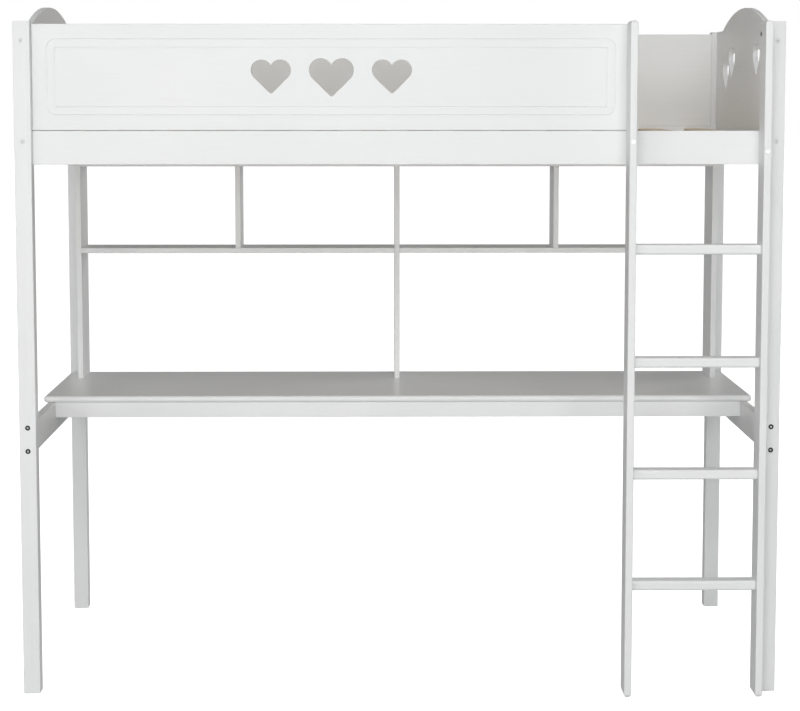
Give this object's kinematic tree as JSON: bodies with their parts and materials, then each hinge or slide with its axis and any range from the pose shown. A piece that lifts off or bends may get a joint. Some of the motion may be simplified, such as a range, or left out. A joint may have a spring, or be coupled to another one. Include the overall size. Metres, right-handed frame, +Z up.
{
  "type": "loft bed with desk",
  "caption": "High single bed on square posts with slatted base and guards, a full-length desk and shelf unit beneath, and a fixed front ladder.",
  "frame": {"origin": "on the floor under the centre of the bed's bounding box, ladder included", "axes": "+X along the bed towards the ladder end, +Y from the front to the back, +Z up"},
  "size_m": [2.06, 1.054, 1.8829],
  "materials": {
    "white_lacquer": "white satin lacquer on pine and board, closed grain, soft edges",
    "desk_lacquer": "white semi-gloss lacquer on the work top and shelf boards",
    "natural_pine": "planed natural pine, clear sealed",
    "black_bolts": "black oxide with a hexagon socket",
    "zinc_steel": "bright zinc",
    "cap_plastic": "white moulded plastic",
    "beech_dowels": "fluted beech"
  },
  "bodies": {
    "root": {"barrel_nuts": "zinc_steel", "bed_frame_bolts": "zinc_steel", "bed_rail_back": "white_lacquer", "bed_rail_front": "white_lacquer", "bolt_caps": "cap_plastic", "cleat_screws": "zinc_steel", "desk_apron": "white_lacquer", "desk_dowels": "beech_dowels", "desk_frame_bolts": "black_bolts", "desk_rail_back": "white_lacquer", "desk_rail_left": "white_lacquer", "desk_rail_right": "white_lacquer", "desk_top": "desk_lacquer", "desk_top_screws": "zinc_steel", "end_panel_left": "white_lacquer", "end_panel_right": "white_lacquer", "guard_back": "white_lacquer", "guard_front": "white_lacquer", "guard_screws": "zinc_steel", "ladder_fixing_screws": "zinc_steel", "ladder_rung_1": "white_lacquer", "ladder_rung_2": "white_lacquer", "ladder_rung_3": "white_lacquer", "ladder_rung_4": "white_lacquer", "ladder_stile_left": "white_lacquer", "ladder_stile_right": "white_lacquer", "post_back_left": "white_lacquer", "post_back_right": "white_lacquer", "post_front_left": "white_lacquer", "post_front_right": "white_lacquer", "rung_dowels": "beech_dowels", "rung_screws": "zinc_steel", "shelf_board_left": "desk_lacquer", "shelf_board_right": "desk_lacquer", "shelf_divider_centre": "white_lacquer", "shelf_divider_left": "white_lacquer", "shelf_divider_right": "white_lacquer", "shelf_dowels": "beech_dowels", "shelf_screws": "zinc_steel", "shelf_side_left": "white_lacquer", "shelf_side_right": "white_lacquer", "shelf_top": "desk_lacquer", "slat_01": "natural_pine", "slat_02": "natural_pine", "slat_03": "natural_pine", "slat_04": "natural_pine", "slat_05": "natural_pine", "slat_06": "natural_pine", "slat_07": "natural_pine", "slat_08": "natural_pine", "slat_09": "natural_pine", "slat_10": "natural_pine", "slat_11": "natural_pine", "slat_12": "natural_pine", "slat_13": "natural_pine", "slat_14": "natural_pine", "slat_cleat_back": "natural_pine", "slat_cleat_front": "natural_pine", "slat_screws": "zinc_steel", "stile_to_post_bolt": "black_bolts"}
  },
  "joints": []
}
